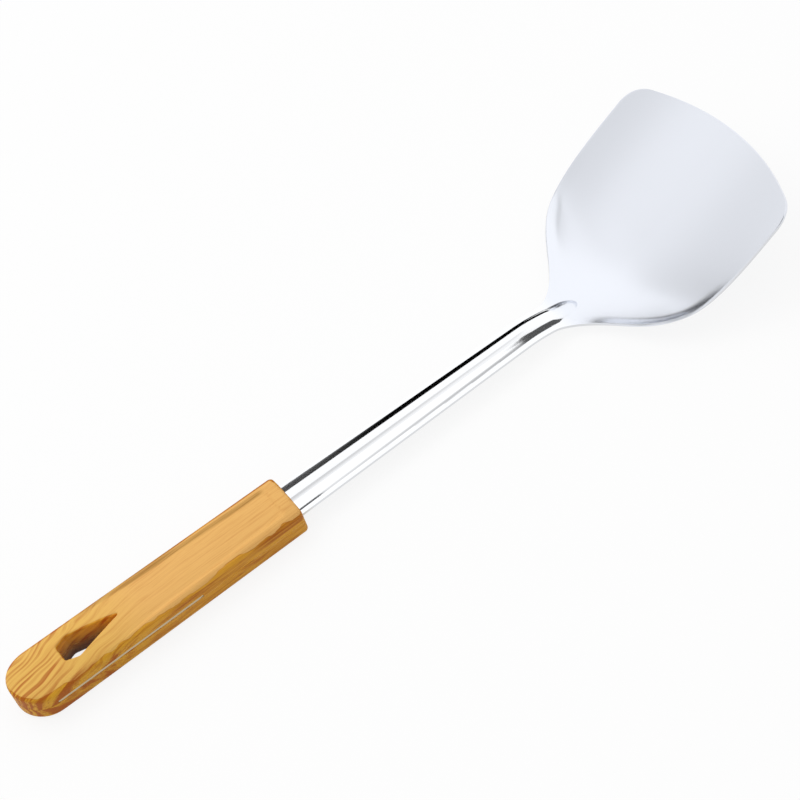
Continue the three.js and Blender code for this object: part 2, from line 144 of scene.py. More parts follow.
def weld(piece):
    work = bmesh.new()
    work.from_mesh(piece.data)
    bmesh.ops.remove_doubles(work, verts=work.verts, dist=1e-6)
    bmesh.ops.recalc_face_normals(work, faces=work.faces)
    work.to_mesh(piece.data)
    work.free()


# %% Helpers for nodes


class Signal:
    """A node's output. Sums and products of signals become maths nodes in its tree."""

    def __init__(self, socket):
        self.socket = socket
        self.tree = socket.id_data

    def __add__(self, other):
        return calc("ADD", self, other)

    def __sub__(self, other):
        return calc("SUBTRACT", self, other)

    def __rsub__(self, other):
        return calc("SUBTRACT", other, self)

    def __mul__(self, other):
        return calc("MULTIPLY", self, other)

    def __truediv__(self, other):
        return calc("DIVIDE", self, other)

    def __pow__(self, other):
        return calc("POWER", self, other)

    def __abs__(self):
        return calc("ABSOLUTE", self)


def signals(node):
    return {socket.name: Signal(socket) for socket in node.outputs}


def tree_of(values):
    return next(value.tree for value in values if isinstance(value, Signal))


def feed(socket, value):
    """Wire a signal to an input, or set the input to a plain value."""
    if isinstance(value, Signal):
        value.tree.links.new(value.socket, socket)
    else:
        socket.default_value = value


def new_node(tree, kind, inputs=(), **settings):
    """A node with its settings, and its inputs fed by name or by place."""
    node = tree.nodes.new(kind)
    for label, value in settings.items():
        setattr(node, label, value)
    for label, value in dict(inputs).items():
        feed(node.inputs[label], value)
    return node


def signal(tree, kind, inputs=(), output=0, **settings):
    """One output of a new node."""
    return Signal(new_node(tree, kind, inputs, **settings).outputs[output])


def calc(operation, *values):
    return signal(tree_of(values), "ShaderNodeMath", enumerate(values), operation=operation)


def maximum(a, b):
    return calc("MAXIMUM", a, b)


def minimum(a, b):
    return calc("MINIMUM", a, b)


def clamp(value, low=0.0, high=1.0):
    return minimum(maximum(value, low), high)


def remap(value, low, high, to_low=0, to_high=1, eased=False):
    """Carry one range over to another; eased gives it a soft start and end."""
    labels = ("Value", "From Min", "From Max", "To Min", "To Max")
    return signal(value.tree, "ShaderNodeMapRange",
                  zip(labels, (value, low, high, to_low, to_high)), output="Result",
                  interpolation_type="SMOOTHSTEP" if eased else "LINEAR")


def split(vector):
    """The x, y and z of a vector."""
    return list(map(Signal, new_node(vector.tree, "ShaderNodeSeparateXYZ", {0: vector}).outputs))


def join(*parts):
    return signal(tree_of(parts), "ShaderNodeCombineXYZ", enumerate(parts))


def group_with(name, kind, inputs, outputs):
    """A new tree with its inputs as signals and its outputs to feed."""
    tree = bpy.data.node_groups.new(name, kind)
    for label, socket_type, value in inputs:
        socket = tree.interface.new_socket(label, in_out="INPUT", socket_type=socket_type)
        if value is not None:
            socket.default_value = value
    for label, socket_type in outputs:
        tree.interface.new_socket(label, in_out="OUTPUT", socket_type=socket_type)
    given = signals(tree.nodes.new("NodeGroupInput"))
    return tree, given, tree.nodes.new("NodeGroupOutput").inputs


def dress(geometry, material, out):
    """How each geometry tree ends: real geometry, with its material set."""
    real = signal(geometry.tree, "GeometryNodeRealizeInstances", {0: geometry})
    feed(out, signal(geometry.tree, "GeometryNodeSetMaterial",
                     {"Geometry": real, "Material": material}))


# %% [markdown]
# ## The blank
#
# A press shop first punches the flat outline of the tang, stem and blade out of a coil: the
# blank. We draw its left edge from a few curves, as a toolmaker would, then lay a grid of
# points over it that is finer than the fixed model's, because polished steel shows every facet.

# %% The outline of the blank, in millimetres from the butt
sheet = 1.2
seam = 6.4
handle_length, butt_width, front_width = 129, 25.4, 23.2
tang_start, tang_inset, tang_round = 8, 0.1, 6
shoulder_x, waist_half = handle_length - 52, 9.05
blade_end, blade_half = 358.17, 48.4
corner_radius, front_radius = 12.8, 93


def handle_half_width(x):
    share = np.clip((x - butt_width / 2) / (handle_length - butt_width / 2), 0, 1)
    return (butt_width + (front_width - butt_width) * share) / 2


def bezier(a, b, c, d, count):
    t = np.linspace(0, 1, count)[:, None]
    a, b, c, d = map(np.array, (a, b, c, d))
    return (1 - t)**3 * a + 3 * (1 - t)**2 * t * b + 3 * (1 - t) * t**2 * c + t**3 * d


def arc(centre, radius, start, end, count):
    turn = np.linspace(start, end, count)
    return np.stack([centre[0] + radius * np.cos(turn), centre[1] + radius * np.sin(turn)], 1)


reach = math.sqrt((front_radius - corner_radius)**2 - (blade_half - corner_radius)**2)
corner_x = blade_end - front_radius + reach
corner_y = blade_half - corner_radius
side_x = corner_x - 8
flare_x = side_x - 53.6
neck_x = flare_x - 20.9
neck_half, flare_half, lean = 7.0, 0.494 * blade_half, 1.53
tang_x = tang_start + tang_round
tang_corner = (tang_x, handle_half_width(tang_x) - tang_inset - tang_round)
shoulder = (shoulder_x, handle_half_width(shoulder_x) - tang_inset)
edge = np.concatenate([
    arc(tang_corner, tang_round, math.pi, math.pi / 2, 24),
    bezier(shoulder, (shoulder_x + 6.75, shoulder[1]),
           (shoulder_x + 8.25, waist_half), (shoulder_x + 15, waist_half), 24),
    bezier((neck_x, neck_half), (neck_x + 7.1, neck_half),
           (flare_x - 7.1, flare_half - lean * 7.1), (flare_x, flare_half), 32),
    bezier((flare_x, flare_half), (flare_x + 11.9, flare_half + lean * 11.9),
           (side_x - 35, blade_half), (side_x, blade_half), 48)[1:],
    arc((corner_x, corner_y), corner_radius, math.pi / 2, math.atan2(corner_y, reach), 40),
])
print("edge points:", len(edge), " neck at", round(neck_x, 1), "mm")

# %% A grid of points over the blank
rows, lanes = 340, 76
run = np.concatenate([[0], np.cumsum(np.hypot(*np.diff(edge, axis=0).T))])
marks = np.linspace(0, run[-1], rows)
row_edge = np.stack([np.interp(marks, run, edge[:, k]) for k in (0, 1)], 1)
heel_x = blade_end - 80.4
share = np.clip((row_edge[:, 0] - heel_x) / (row_edge[-1, 0] - heel_x), 0, 1)
bow = (blade_end - row_edge[-1, 0]) * share**2
even = np.linspace(-1, 1, lanes + 1)
across = np.sign(even) * (1 - (1 - np.abs(even))**1.12)
flat_x = row_edge[:, :1] + bow[:, None] * (1 - across[None]**2)
flat_y = -row_edge[:, 1:] * across[None]
half_width = np.where(flat_x >= corner_x, blade_half, np.interp(flat_x, edge[:, 0], edge[:, 1]))
fine = np.linspace(0, run[-1], 1500)
rim = np.stack([np.interp(fine, run, edge[:, k]) for k in (0, 1)], 1)
from_rim = np.sqrt(np.stack([
    ((rim[:, 0] - x)**2 + (rim[:, 1] - y)**2).min()
    for x, y in zip(flat_x.ravel(), np.abs(flat_y).ravel())])).reshape(flat_x.shape)
print("grid of", flat_x.shape, "points")


def grid_faces(row_count, column_count, first=0):
    a = first + np.arange((row_count - 1) * column_count)
    a = a.reshape(row_count - 1, column_count)[:, :-1].ravel()
    return np.stack([a, a + 1, a + column_count + 1, a + column_count], 1).tolist()


points = np.stack([from_butt(flat_x), flat_y * mm, np.zeros_like(flat_x)], -1).reshape(-1, 3)
blank = new_object("blade_and_stem", points, grid_faces(rows, lanes + 1))
for label, values in (("half_width", half_width), ("from_rim", from_rim)):
    kept = blank.data.attributes.new(label, "FLOAT", "POINT")
    kept.data.foreach_set("value", (values * mm).ravel())
print("blank:", len(blank.data.polygons), "quads")

# %% [markdown]
# ## The press
#
# In the press the flat blank gets its bends, its rib and its dish in one stroke. Geometry Nodes
# do the same here: a tree works out the height of each point from its place on the blank, with
# the tool's sizes as named inputs. It could be done in Python, but as nodes the sizes stay live
# while the shape is tuned. Each bend is the integral of a smooth step, so the slope and the
# curvature run on without a break, and reflections glide over it.

# %% The press as a node tree
press_sizes = [
    ("Sheet Height", (seam + sheet / 2) * mm),
    ("Neck Bend", from_butt(247.45)), ("Neck Bend Length", 15.7 * mm),
    ("Fall", -math.tan(math.radians(12))),
    ("Heel", from_butt(286.5)), ("Heel Bend Length", 48 * mm),
    ("Tilt", math.tan(math.radians(26))),
    ("Rib Foot", from_butt(handle_length)), ("Rib Start", from_butt(96)), ("Rib Rise", 28 * mm),
    ("Nose Start", from_butt(263.3)), ("Nose Length", 7 * mm), ("Nose Sink", 0.4),
    ("Root Half", 6.8 * mm), ("Neck Half", 4 * mm),
    ("Root Height", 4.5 * mm), ("Neck Height", 3 * mm), ("Foot Share", 0.3),
    ("Dish Start", from_butt(259)), ("Dish Rise", 34 * mm),
    ("Dish", 8.3 * mm), ("Dish Power", 1.9),
    ("Lip", 1.2 * mm), ("Lip Width", 5 * mm),
    ("Lip Full", from_butt(276)), ("Lip Fade", 46 * mm),
]
tree, given, out = group_with(
    "press_the_blank", "GeometryNodeTree",
    [("Geometry", "NodeSocketGeometry", None)]
    + [(label, "NodeSocketFloat", value) for label, value in press_sizes],
    [("Geometry", "NodeSocketGeometry")])
x, y = split(signal(tree, "GeometryNodeInputPosition"))[:2]
off_centre = abs(y)


def stored(name):
    return signal(tree, "GeometryNodeInputNamedAttribute", {"Name": name}, output="Attribute",
                  data_type="FLOAT")


def ramp(start, length):
    """0 before start, 1 after start + length, smooth between."""
    return remap(x, start, start + length, 0, 1, True)


def bend(centre, length):
    """Height gained by a slope that grows from 0 to 1 over a length round a centre."""
    t = (x - centre) / length + 0.5
    u = clamp(t)
    cube = u * u * u
    return (cube - cube * u * 0.5 + maximum(t - 1.0, 0.0)) * length


def between(a, b, amount):
    return (b - a) * amount + a


spine = given["Sheet Height"] + (
    bend(given["Neck Bend"], given["Neck Bend Length"]) * given["Fall"]
    + bend(given["Heel"], given["Heel Bend Length"]) * (given["Tilt"] - given["Fall"]))

nose_start, nose_length = given["Nose Start"], given["Nose Length"]
along = clamp((x - given["Rib Foot"]) / (nose_start - given["Rib Foot"]))
into = clamp((x - nose_start) / nose_length, 0.0, 0.999)
nose = calc("SQRT", 1.0 - into * into)
half = between(given["Root Half"], given["Neck Half"], along) * nose
height = between(given["Root Height"], given["Neck Height"], along) * nose
height = height * ramp(given["Rib Start"], given["Rib Rise"])
height = height * (1.0 - ramp(nose_start - nose_length, nose_length) * given["Nose Sink"])
height = maximum(height, 1e-6)
radius = (half * half + height * height) / (height * 2.0)
inner = minimum(off_centre, radius)
crest = calc("SQRT", maximum(radius * radius - inner * inner, 0.0))
crest = crest - (radius - height) - (off_centre - inner)
rib = calc("SMOOTH_MAX", crest, 0.0, height * given["Foot Share"] * 1.5)

rim_share = minimum(off_centre / stored("half_width"), 1.0)
lip = maximum(1.0 - stored("from_rim") / given["Lip Width"], 0.0)
lip = lip * lip * given["Lip"] * (1.0 - ramp(given["Lip Full"], given["Lip Fade"]))
dish = rim_share ** given["Dish Power"] * given["Dish"] + lip
dish = dish * ramp(given["Dish Start"], given["Dish Rise"])

moved = signal(tree, "GeometryNodeSetPosition", {
    "Geometry": given["Geometry"], "Offset": join(0.0, 0.0, spine + (rib + dish))})
steel = bpy.data.materials.new("satin_steel")
dress(moved, steel, out["Geometry"])
print("press:", len(tree.nodes), "nodes,", len(press_sizes), "sizes")

# %% Press the blank and give it its thickness
blank.modifiers.new("press", "NODES").node_group = tree
plain_copy(blank)
pressed = np.array([v.co for v in blank.data.vertices]).reshape(rows, lanes + 1, 3)
facing = np.array([v.normal for v in blank.data.vertices]).reshape(rows, lanes + 1, 3)
solid = blank.modifiers.new("sheet", "SOLIDIFY")
solid.thickness, solid.offset = sheet * mm, 0
solid.use_even_offset = True
soft = blank.modifiers.new("deburred edge", "BEVEL")
soft.width, soft.segments = 0.22 * mm, 3
soft.limit_method, soft.angle_limit = "ANGLE", math.radians(60)
plain_copy(blank)
print("pressed sheet:", [round(v, 4) for v in blank.dimensions],
      len(blank.data.polygons), "faces")

# %% [markdown]
# ## The handle's outline and the hanging hole
#
# The handle is a bar with a round butt, a slow taper and small corners in front. The hole is a
# blunt teardrop that points at the blade, and the tool hangs from its flat end. Both outlines
# are straight lines joined by arcs, so we describe them by corners with a radius. Each point
# keeps the angle that points out of the shape, and an outline grows or shrinks by moving its
# points that way.

# %% Half outlines as rows of x, y and the angle that points outwards


def rounded(corners, steps=8):
    found = []
    for before, corner, after in zip(corners, corners[1:], corners[2:]):
        came = (Vector(corner[:2]) - Vector(before[:2])).normalized()
        goes = (Vector(after[:2]) - Vector(corner[:2])).normalized()
        turn = came.angle(goes)
        start = math.atan2(came.x, -came.y)
        into = corner[2] / math.cos(turn / 2)
        centre = Vector(corner[:2]) - Vector(
            (math.cos(start - turn / 2), math.sin(start - turn / 2))) * into
        for k in range(steps + 1):
            angle = start - turn * k / steps
            found.append((centre.x + corner[2] * math.cos(angle),
                          centre.y + corner[2] * math.sin(angle), angle))
    return found


def spread(outline, start, end, count):
    """Evenly spread places along the stretch of an outline between two of its points."""
    part = np.array(outline[start:end + 1])
    far = np.concatenate([[0], np.cumsum(np.hypot(*np.diff(part[:, :2], axis=0).T))])
    even = np.linspace(0, far[-1], count)
    return np.stack([np.interp(even, far, part[:, k]) for k in range(3)], 1)


hole_base, hole_tip = 23.5, 50.4
hole_corners = [(hole_base, -3.7, 0), (hole_base, 3.7, 1), (hole_base + 5.5, 5.65, 3),
                (hole_tip, 0, 0.33), (hole_base + 5.5, -5.65, 0)]
hole_line = [(hole_base, 0, math.pi)] + [c for c in rounded(hole_corners) if c[2] > -1e-6]
butt_round, butt_points = butt_width / 2, 24
butt_arc = [(butt_round - butt_round * math.cos(a), butt_round * math.sin(a), math.pi - a)
            for a in np.linspace(0, math.pi / 2, butt_points)]
front_corners = [(butt_round, butt_round, 0), (handle_length, front_width / 2, 2),
                 (handle_length, 0, 0)]
corner = rounded(front_corners)
side = [(v, float(handle_half_width(v)), math.pi / 2) for v in (17, 54)]
handle_line = butt_arc + side + corner
print("hole from", round(hole_line[0][0], 1), "to", round(hole_line[-1][0], 2),
      "mm from the butt")

# %% [markdown]
# ## The two wooden halves
#
# Each half is sawn from a board, routed to its outline, rounded along its edge and sanded. The
# upper half is crowned, so it fills the palm, and carries a shallow thumb facet that starts
# softly behind, narrows forwards and ends in a low wall on three sides. We lay rows of points
# from the outline to the hole or the middle line, so the surface round the hole follows its rim
# and no face crosses an edge. The edge of the wood rolls over in small steps.

# %% The faces of the halves


def soft_min(a, b, width):
    near = np.maximum(width - np.abs(a - b), 0) / width
    return np.minimum(a, b) - near * near * width / 4


top_height, top_fall, crown_height = 8, 0.3, 1.9
facet_back, facet_front, facet_depth = 40, 123, 0.9
facet_half, facet_taper = 11, 2.75
butt_rise, butt_rise_length = 0.6, 26


def middle_height(x):
    return seam + top_height - top_fall * x / handle_length


def top_face(x, y):
    top = middle_height(x) - crown_height * np.abs(y / handle_half_width(x))**3
    share = (x - facet_back) / (facet_front - facet_back)
    slow = np.clip(share / 0.3, 0, 1)
    side_wall = (facet_half - facet_taper * share - np.abs(y)) * np.where(y > 0, 0.58, 0.5)
    wall = soft_min(side_wall, (facet_front + 1 - x) * 0.45, 1.2)
    depth = soft_min(facet_depth * slow * slow * (3 - 2 * slow), wall, 0.2)
    return top + soft_min(-depth, 0 * depth, 0.15)


def bottom_face(x, y):
    share = np.clip((butt_rise_length - x) / butt_rise_length, 0, 1)
    return butt_rise * share**2 + 0 * y


# %% Rows of points for one half


def handle_half(name, face, edge_round, up, rim_round=1.0, lane_count=26):
    butt_rows, hole_rows, front_rows, ease = 36, 84, 150, 0.12
    behind = spread(handle_line, 0, butt_points, butt_rows)
    beside = spread(handle_line, butt_points, butt_points + 1, hole_rows)
    ahead = spread(handle_line, butt_points + 1, butt_points + 2, front_rows)
    outer = np.concatenate([behind, beside[1:], ahead[1:], np.array(corner[1:])])
    rim = spread(hole_line, 0, len(hole_line) - 1, hole_rows)
    reach, corner_row = rim[-1, 0] + rim_round, 125
    middle = [np.stack([v, 0 * v, 0 * v], 1) for v in (
        np.linspace(edge_round, hole_base - rim_round, butt_rows)[:-1],
        np.concatenate([np.linspace(reach, corner_row, front_rows)[1:],
                        np.linspace(corner_row, handle_length - edge_round, len(corner))[1:]]))]
    inner = np.concatenate([middle[0], rim, middle[1]])
    at_hole = slice(butt_rows - 1, butt_rows - 1 + hole_rows)
    grown = np.zeros(len(inner))
    grown[at_hole] = rim_round

    def shifted(line, distance):
        return line[:, :2] + np.stack([np.cos(line[:, 2]), np.sin(line[:, 2])], 1) * (
            distance if np.isscalar(distance) else distance[:, None])

    def raised(flat, drop):
        heights = face(flat[..., 0], flat[..., 1]) - up * drop
        return np.concatenate([flat, heights[..., None]], -1)

    def level(flat, height):
        return np.concatenate([flat, np.full(flat.shape[:-1] + (1,), height)], -1)

    def rings(at, radius):
        """From the seam up the wall and over the edge; at(d) gives the line drawn in by d."""
        turned = [raised(at(radius * (1 - math.cos(a))), radius * (1 - math.sin(a)))
                  for a in np.linspace(0, math.pi / 2, 9)]
        foot = level(at(0), seam + up * ease)
        wall = [foot + (turned[0] - foot) * t for t in (0.3, 0.6, 0.85)]
        return np.stack([level(at(ease), seam), foot] + wall + turned)

    t = np.linspace(0, 1, lane_count + 1)[None, :, None]
    start = shifted(outer, -edge_round)[:, None]
    end = shifted(inner, grown)[:, None]
    end[grown == 0, :, 1] = 0
    crown = raised(start + (end - start) * t, 0)
    last = outer[-1]
    patches = [
        crown,
        rings(lambda d: shifted(outer, -d), edge_round),
        rings(lambda d: shifted(inner[at_hole], d), rim_round),
        rings(lambda d: np.stack([np.full(lane_count + 1, last[0] - d),
                                  last[1] * (1 - t[0, :, 0])], 1), edge_round),
    ]
    floor_end = np.where(grown[:, None] > 0, shifted(inner, ease), inner[:, :2])
    floor_start = shifted(outer, -ease)
    at_butt = inner[:, 0] < edge_round + 0.01
    floor_end[at_butt] = floor_start[at_butt]
    floor_end[-1] = (last[0] - ease, 0)
    patches.append(level(floor_start[:, None] + (floor_end - floor_start)[:, None] * t, seam))
    points, faces = [], []
    for patch in patches:
        for mirror in (1, -1):
            faces += grid_faces(*patch.shape[:2], first=len(points))
            points += (patch.reshape(-1, 3) * (mm, mirror * mm, mm) + (butt, 0, 0)).tolist()
    half = new_object(name, points, faces)
    weld(half)
    return half


def open_edges(piece):
    work = bmesh.new()
    work.from_mesh(piece.data)
    count = sum(1 for e in work.edges if len(e.link_faces) != 2)
    volume = work.calc_volume()
    work.free()
    return count, round(volume * 1e6, 2)


upper = handle_half("upper_grip", top_face, 1.9, 1, lane_count=46)
lower = handle_half("lower_grip", bottom_face, 1.6, -1)
for half in (upper, lower):
    print(half.name, len(half.data.polygons), "faces, open edges and volume in cm3:",
          open_edges(half))

# %% [markdown]
# ## Rooms, holes and the plug
#
# A router sinks a room for the tang into the upper half, so the halves meet round the steel and
# its edge shows as a bright line in the seam. A drill makes the pilot holes and, from below, the
# sunk seats of the screw heads. On the lower half a plug is left standing that fills the hollow
# rib. The tools here are closed meshes, and a Boolean modifier takes them out or joins them.

# %% Tools that cut


def closed_grid(name, top, bottom):
    """A body between two grids of points that share their outline from above."""
    count = top.shape[0] * top.shape[1]
    faces = grid_faces(*top.shape[:2]) + grid_faces(*bottom.shape[:2], first=count)
    ids = np.arange(count).reshape(top.shape[:2])
    loop = np.concatenate([ids[0, :-1], ids[:-1, -1], ids[-1, :0:-1], ids[:0:-1, 0]]).tolist()
    for a, b in zip(loop, loop[1:] + loop[:1]):
        faces.append((a, b, b + count, a + count))
    body = new_object(name, np.concatenate([top.reshape(-1, 3), bottom.reshape(-1, 3)]), faces)
    weld(body)
    return body


def cylinder(name, x, radius, bottom, top, sides=48):
    work = bmesh.new()
    bmesh.ops.create_cone(work, cap_ends=True, segments=sides, radius1=radius * mm,
                          radius2=radius * mm, depth=(top - bottom) * mm)
    mesh = bpy.data.meshes.new(name)
    work.to_mesh(mesh)
    work.free()
    mesh.transform(Matrix.Translation((from_butt(x), 0, (top + bottom) / 2 * mm)))
    return add_object(name, mesh)


def hole_post(name, margin, bottom, top):
    line = np.array(hole_line)
    line = line[:, :2] + np.stack([np.cos(line[:, 2]), np.sin(line[:, 2])], 1) * margin
    line[0, 1] = line[-1, 1] = 0
    loop = np.concatenate([line, line[-2:0:-1] * (1, -1)])
    n = len(loop)
    points = [(from_butt(x), y * mm, z * mm) for z in (bottom, top) for x, y in loop]
    faces = [tuple(range(n)), tuple(range(n, 2 * n))]
    faces += [(k, (k + 1) % n, n + (k + 1) % n, n + k) for k in range(n)]
    body = new_object(name, points, faces)
    weld(body)
    return body


room_gap, tang_roof = 0.3, 0.68
screw_x = [15, hole_tip + 9, handle_length - 40.6]
pilot, pilot_roof, boss, head_room = 1.6, 1.6, 3.0, 3.0
under = [k for k in range(rows) if pressed[k, 0, 0] < from_butt(handle_length + 2)]
roof = pressed[under].copy()
roof[..., 2] += tang_roof * mm / facing[under][..., 2]
roof[:, 0, 1] += room_gap * mm
roof[:, -1, 1] -= room_gap * mm
roof = np.concatenate([roof[:1] - (room_gap * mm, 0, 0), roof])
floor = roof.copy()
floor[..., 2] = (seam - 2) * mm
room = closed_grid("tang_room", roof, floor)
cut(room, [hole_post("collar", 1.5, seam - 3, seam + 3)]
    + [cylinder("boss", x, boss, seam - 3, seam + 3) for x in screw_x])
cut(upper, [room] + [cylinder("pilot", x, pilot, seam - 2, middle_height(x) - pilot_roof)
                     for x in screw_x])
print("upper half after its cuts:", open_edges(upper), "cm3")

# %% The plug and the screw seats of the lower half
plug_start, plug_end, plug_half, plug_drop = 107, 127, 6.4, 0.9
head_sunk, head_height = 1, 1.6
rib_lanes = slice(lanes // 2 - 22, lanes // 2 + 23)
held = [k for k in under if from_butt(plug_start) < pressed[k, 0, 0] < from_butt(plug_end)]
plug_top = pressed[held][:, rib_lanes].copy()
plug_top[..., 2] -= plug_drop * mm / facing[held][:, rib_lanes, 2]
plug_top = plug_top[:, np.abs(plug_top[0, :, 1]) < plug_half * mm]
plug_base = plug_top.copy()
plug_base[..., 2] = (seam - 2) * mm
cut(lower, [closed_grid("plug", plug_top, plug_base)], "UNION")
seat = [float(bottom_face(x, 0)) + head_sunk + head_height for x in screw_x]
cut(lower, [cylinder("shaft", x, pilot, -2, seam + 2) for x in screw_x]
    + [cylinder("seat", x, head_room, -2, h) for x, h in zip(screw_x, seat)])
cut(blank, [hole_post("tang_hole", 1.8, 0, 20)]
    + [cylinder("clearance", x, boss + 0.3, 0, 20) for x in screw_x])
print("lower half:", open_edges(lower), " steel:", open_edges(blank), "cm3")

for piece, angle in ((upper, 40), (lower, 40), (blank, 30)):
    smooth(piece, angle)

# %% [markdown]
# ## The screws
#
# Three pan-head wood screws pull the lower half, the tang and the upper half together from
# below. A screw is headed cold from wire and its thread is rolled between dies, so the thread
# stands out from the wire. We turn one profile round its axis, sweep the thread as a helix, and
# let Geometry Nodes set the same screw at its three places.

# %% One screw, point up, with its head's underside at z = 0


def lathe(name, profile, sides=64):
    points, faces = [], []
    for r, z in profile:
        for k in range(sides):
            a = 2 * math.pi * k / sides
            points.append((r * mm * math.cos(a), r * mm * math.sin(a), z * mm))
    for i in range(len(profile) - 1):
        for k in range(sides):
            a, b = i * sides + k, i * sides + (k + 1) % sides
            faces.append((a, b, b + sides, a + sides))
    faces += [tuple(range(sides))[::-1], tuple(range(len(points) - sides, len(points)))]
    body = new_object(name, points, faces)
    weld(body)
    return body


screw_long = middle_height(screw_x[0]) - crown_height - seat[0]
wire, point_length = 0.95, 2.2
thread_root, thread_height, thread_half = 0.6, 0.7, 0.34
turns = np.linspace(0, math.pi / 2, 8)
head = [(0.01, -head_height)]
head += [(1.8 + 0.9 * math.sin(a), -0.7 - 0.9 * math.cos(a)) for a in turns]
head += [(2.7, -0.12), (2.6, 0), (wire, 0)]
screw = lathe("screw", head + [(wire, screw_long - point_length), (0.05, screw_long)])
slots = []
for turn in (0, math.pi / 2):
    work = bmesh.new()
    bmesh.ops.create_cube(work, size=1.0, matrix=Matrix.Rotation(turn, 4, "Z")
                          @ Matrix.Translation((0, 0, -head_height * mm))
                          @ Matrix.Diagonal((3.2 * mm, 0.9 * mm, 1.8 * mm, 1)))
    mesh = bpy.data.meshes.new("slot")
    work.to_mesh(mesh)
    work.free()
    slots.append(add_object("slot", mesh))
cut(screw, slots)
pitch, steps = 1.1, 24
count = int((screw_long - 1.6) / pitch * steps)
points = []
for k in range(count):
    a, z = 2 * math.pi * k / steps, 0.5 + pitch * k / steps
    slim = min(1, (screw_long - z) / 2.4, (z - 0.3) / 1.2)
    ridge = thread_root + thread_height * max(slim, 0.05)
    for r, dz in ((thread_root, -thread_half), (ridge, 0), (thread_root, thread_half)):
        points.append((r * mm * math.cos(a), r * mm * math.sin(a), (z + dz) * mm))
faces = [(3 * k + j, 3 * k + (j + 1) % 3, 3 * k + 3 + (j + 1) % 3, 3 * k + 3 + j)
         for k in range(count - 1) for j in range(3)]
faces += [(0, 2, 1), (3 * count - 3, 3 * count - 2, 3 * count - 1)]
thread = new_object("thread", points, faces)
weld(thread)
cut(screw, [thread], "UNION")
smooth(screw, 35)
print("one screw:", len(screw.data.polygons), "faces,", round(screw_long, 2), "mm under its head")

# %% The same screw at three places
screw_steel = bpy.data.materials.new("zinc_plated_steel")
tree, given, out = group_with(
    "set_screws", "GeometryNodeTree",
    [("Geometry", "NodeSocketGeometry", None), ("Screw", "NodeSocketObject", None),
     ("Turn", "NodeSocketFloat", 0.7)], [("Geometry", "NodeSocketGeometry")])
model = signal(tree, "GeometryNodeObjectInfo", {"Object": given["Screw"]}, output="Geometry")
turn = signal(tree, "GeometryNodeInputIndex") * given["Turn"]
placed = signal(tree, "GeometryNodeInstanceOnPoints", {
    "Points": given["Geometry"], "Instance": model, "Rotation": join(0.0, 0.0, turn)})
dress(placed, screw_steel, out["Geometry"])
screws = new_object("screws", [(from_butt(x), 0, h * mm) for x, h in zip(screw_x, seat)], [])
setting = screws.modifiers.new("set screws", "NODES")
setting.node_group = tree
names = {item.name: item.identifier for item in tree.interface.items_tree}
setting[names["Screw"]] = screw
plain_copy(screws)
remove(screw)
print("three screws:", len(screws.data.polygons), "faces")

# %% [markdown]
# ## Effects that several materials share
#
# Nothing in a shop is perfectly even: a sheet keeps the lines of the brush that satined it, and
# both wood and steel carry faint blotches from hands and wiping. Each effect is a node group
# with its own inputs, so one idea serves several materials with different values.

# %% Shared effects as shader groups


def noise(vector, scale, detail=2.0, roughness=0.5):
    return signal(vector.tree, "ShaderNodeTexNoise", {
        "Vector": vector, "Scale": scale, "Detail": detail, "Roughness": roughness},
        output="Fac")


def stretch(vector, x, y, z):
    return signal(vector.tree, "ShaderNodeVectorMath", {0: vector, 1: (x, y, z)},
                  operation="MULTIPLY")


def mix_colour(amount, a, b, blend="MIX"):
    return signal(amount.tree, "ShaderNodeMix", {"Factor": amount, "A": a, "B": b},
                  output="Result", data_type="RGBA", blend_type=blend)


tree, given, out = group_with(
    "brushed_lines", "ShaderNodeTree",
    [("Vector", "NodeSocketVector", None), ("Scale", "NodeSocketFloat", 1.0),
     ("Evenness", "NodeSocketFloat", 0.5)], [("Value", "NodeSocketFloat")])
lines = noise(stretch(given["Vector"], 40, 1200, 1200), given["Scale"], 3, 0.6)
cloud = noise(stretch(given["Vector"], 20, 60, 60), given["Scale"], 2)
feed(out["Value"], lines * (1.0 - given["Evenness"]) + cloud * given["Evenness"])
brushed = tree

tree, given, out = group_with(
    "handling_blotches", "ShaderNodeTree",
    [("Vector", "NodeSocketVector", None), ("Size", "NodeSocketFloat", 60.0)],
    [("Value", "NodeSocketFloat")])
feed(out["Value"], remap(noise(given["Vector"], given["Size"], 4, 0.6), 0.35, 0.7))
blotches = tree
print("shared effects:", [g.name for g in bpy.data.node_groups if g.type == "SHADER"])

# %% Helpers for materials


def use_group(group, where, **values):
    inputs = {label.replace("_", " "): value for label, value in values.items()}
    return signals(new_node(where.tree, "ShaderNodeGroup", {"Vector": where, **inputs},
                            node_tree=group))


def fresh(material):
    """A material with one Principled shader: its inputs, and the object's coordinates."""
    material.use_nodes = True
    tree = material.node_tree
    tree.nodes.clear()
    shader = tree.nodes.new("ShaderNodeBsdfPrincipled")
    new_node(tree, "ShaderNodeOutputMaterial", {"Surface": Signal(shader.outputs[0])})
    return shader.inputs, signal(tree, "ShaderNodeTexCoord", output="Object")


def levelness(tree):
    """1 where the surface lies flat, 0 where it stands upright."""
    return abs(split(signal(tree, "ShaderNodeTexCoord", output="Normal"))[2])


def bump(look, height, strength, distance):
    feed(look["Normal"], signal(height.tree, "ShaderNodeBump", {
        "Strength": strength, "Distance": distance, "Height": height}))


# %% [markdown]
# ## Steel
#
# Kitchen steel is pressed from satined sheet: it reflects softly, with its highlights drawn out
# and a trace of the brush lines. It is a bare metal, so its colour sits in the reflection.

